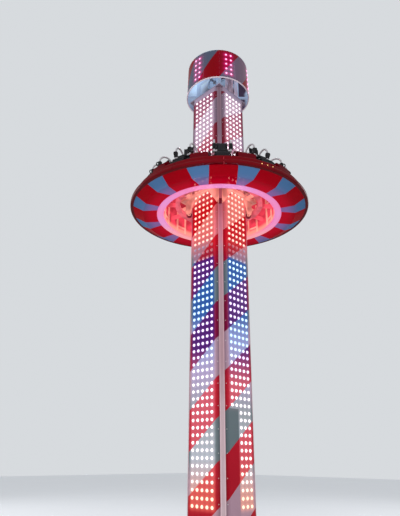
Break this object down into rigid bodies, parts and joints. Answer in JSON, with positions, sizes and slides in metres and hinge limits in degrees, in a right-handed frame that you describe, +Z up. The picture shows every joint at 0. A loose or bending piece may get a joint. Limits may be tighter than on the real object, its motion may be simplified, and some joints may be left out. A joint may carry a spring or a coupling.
{
  "type": "drop tower ride",
  "caption": "Square light-clad drop tower with striped panels, a round spinning gondola of outward seats with shoulder restraints, and a drum crown.",
  "frame": {"origin": "on the floor at the tower's vertical axis", "axes": "+Z up, tower faces square to X and Y; the picture looks from the +X, -Y corner"},
  "size_m": [4.0296, 4.0296, 11],
  "materials": {
    "base_steel": "dark grey paint, worn at the edges",
    "rail_paint": "pale grey gloss paint",
    "tower_panels": "gloss paint in broad diagonal bands of red and grey-teal",
    "head_steel": "dark grey paint",
    "bare_steel": "machined and greased",
    "rope_steel": "galvanised wire rope",
    "crown_panels": "gloss paint outside in diagonal bands of red and grey, pale grey-blue inside",
    "carriage_paint": "cream paint, lit red",
    "roller_tyre": "black polyurethane tyre",
    "gondola_steel": "red paint",
    "light_diffuser": "translucent diffuser, lit",
    "well_red": "gloss red moulding",
    "skirt_red": "high gloss red gel coat",
    "skirt_grey": "high gloss blue-grey gel coat",
    "rim_red": "high gloss deep red gel coat",
    "seat_steel": "black powder coat",
    "seat_black": "black moulded seat with padding",
    "restraint_black": "black foam over steel tube"
  },
  "bodies": {
    "tower": {"base_beam_x": "base_steel", "base_beam_y": "base_steel", "foot_plates": "base_steel", "base_plate": "base_steel", "corner_legs": "rail_paint", "panel_front": "tower_panels", "panel_right": "tower_panels", "panel_back": "tower_panels", "panel_left": "tower_panels", "inner_bracing": "head_steel", "top_frame": "rail_paint", "head_posts": "head_steel", "head_beams": "head_steel", "sheaves": "bare_steel", "hoist_ropes": "rope_steel", "crown_drum": "crown_panels", "crown_cap": "rail_paint", "crown_brackets": "head_steel"},
    "carriage": {"carriage_side_beams": "carriage_paint", "carriage_cross_beams": "carriage_paint", "carriage_posts": "carriage_paint", "carriage_arms": "carriage_paint", "carriage_roof": "carriage_paint", "roller_brackets": "carriage_paint", "guide_rollers": "roller_tyre", "slew_ring_inner": "bare_steel"},
    "gondola": {"slew_ring_outer": "bare_steel", "radial_beams": "gondola_steel", "ring_light": "light_diffuser", "well_ring": "gondola_steel", "well_walls": "well_red", "well_frames": "carriage_paint", "skirt_red": "skirt_red", "skirt_grey": "skirt_grey", "skirt_ribs": "gondola_steel", "rim_moulding": "rim_red", "seat_deck": "rim_red", "consoles": "rim_red", "seat_frames": "seat_steel", "seat_backs": "seat_black", "seat_pans": "seat_black"},
    "restraint_01": {"restraint_01": "restraint_black"},
    "restraint_02": {"restraint_02": "restraint_black"},
    "restraint_03": {"restraint_03": "restraint_black"},
    "restraint_04": {"restraint_04": "restraint_black"},
    "restraint_05": {"restraint_05": "restraint_black"},
    "restraint_06": {"restraint_06": "restraint_black"},
    "restraint_07": {"restraint_07": "restraint_black"},
    "restraint_08": {"restraint_08": "restraint_black"},
    "restraint_09": {"restraint_09": "restraint_black"},
    "restraint_10": {"restraint_10": "restraint_black"},
    "restraint_11": {"restraint_11": "restraint_black"},
    "restraint_12": {"restraint_12": "restraint_black"}
  },
  "joints": [
    {"name": "lift", "type": "slide", "parent": "tower", "child": "carriage", "axis": [0, 0, 1], "range_m": [-6.26, 2.1]},
    {"name": "twist", "type": "hinge", "parent": "carriage", "child": "gondola", "pos_m": [0, 0, 6.99], "axis": [0, 0, 1], "continuous": true},
    {"name": "restraint_hinge_01", "type": "hinge", "parent": "gondola", "child": "restraint_01", "pos_m": [1.27502, 0.34164, 7.53], "axis": [0.2588, -0.9659, 0], "range_deg": [0, 80]},
    {"name": "restraint_hinge_02", "type": "hinge", "parent": "gondola", "child": "restraint_02", "pos_m": [0.93338, 0.93338, 7.53], "axis": [0.7071, -0.7071, 0], "range_deg": [0, 80]},
    {"name": "restraint_hinge_03", "type": "hinge", "parent": "gondola", "child": "restraint_03", "pos_m": [0.34164, 1.27502, 7.53], "axis": [0.9659, -0.2588, 0], "range_deg": [0, 80]},
    {"name": "restraint_hinge_04", "type": "hinge", "parent": "gondola", "child": "restraint_04", "pos_m": [-0.34164, 1.27502, 7.53], "axis": [0.9659, 0.2588, 0], "range_deg": [0, 80]},
    {"name": "restraint_hinge_05", "type": "hinge", "parent": "gondola", "child": "restraint_05", "pos_m": [-0.93338, 0.93338, 7.53], "axis": [0.7071, 0.7071, 0], "range_deg": [0, 80]},
    {"name": "restraint_hinge_06", "type": "hinge", "parent": "gondola", "child": "restraint_06", "pos_m": [-1.27502, 0.34164, 7.53], "axis": [0.2588, 0.9659, 0], "range_deg": [0, 80]},
    {"name": "restraint_hinge_07", "type": "hinge", "parent": "gondola", "child": "restraint_07", "pos_m": [-1.27502, -0.34164, 7.53], "axis": [-0.2588, 0.9659, 0], "range_deg": [0, 80]},
    {"name": "restraint_hinge_08", "type": "hinge", "parent": "gondola", "child": "restraint_08", "pos_m": [-0.93338, -0.93338, 7.53], "axis": [-0.7071, 0.7071, 0], "range_deg": [0, 80]},
    {"name": "restraint_hinge_09", "type": "hinge", "parent": "gondola", "child": "restraint_09", "pos_m": [-0.34164, -1.27502, 7.53], "axis": [-0.9659, 0.2588, 0], "range_deg": [0, 80]},
    {"name": "restraint_hinge_10", "type": "hinge", "parent": "gondola", "child": "restraint_10", "pos_m": [0.34164, -1.27502, 7.53], "axis": [-0.9659, -0.2588, 0], "range_deg": [0, 80]},
    {"name": "restraint_hinge_11", "type": "hinge", "parent": "gondola", "child": "restraint_11", "pos_m": [0.93338, -0.93338, 7.53], "axis": [-0.7071, -0.7071, 0], "range_deg": [0, 80]},
    {"name": "restraint_hinge_12", "type": "hinge", "parent": "gondola", "child": "restraint_12", "pos_m": [1.27502, -0.34164, 7.53], "axis": [-0.2588, -0.9659, 0], "range_deg": [0, 80]}
  ]
}
